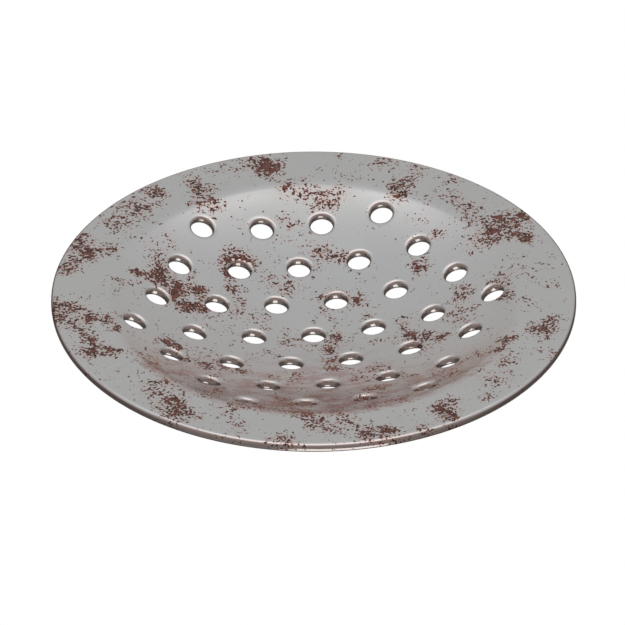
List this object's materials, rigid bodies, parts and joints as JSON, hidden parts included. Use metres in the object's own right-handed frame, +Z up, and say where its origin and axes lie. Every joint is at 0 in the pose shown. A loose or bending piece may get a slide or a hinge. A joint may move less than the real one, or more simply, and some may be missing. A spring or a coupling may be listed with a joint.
{
  "type": "floor drain grate",
  "caption": "Round dished floor drain grate: a flat rim around a shallow spherical bowl, pierced with round drain holes in a hexagonal pattern.",
  "frame": {"origin": "centre of the rim's underside, on the plane that rests on the drain body's ledge", "axes": "+Z up out of the drain, along the plate's axis; +X along the longest row of drain holes; the dish hangs below the rim towards -Z"},
  "size_m": [0.1524, 0.1524, 0.0159],
  "materials": {
    "plate": "worn satin steel with patches and specks of red-brown rust"
  },
  "bodies": {
    "root": {"strainer_plate": "plate"}
  },
  "joints": []
}
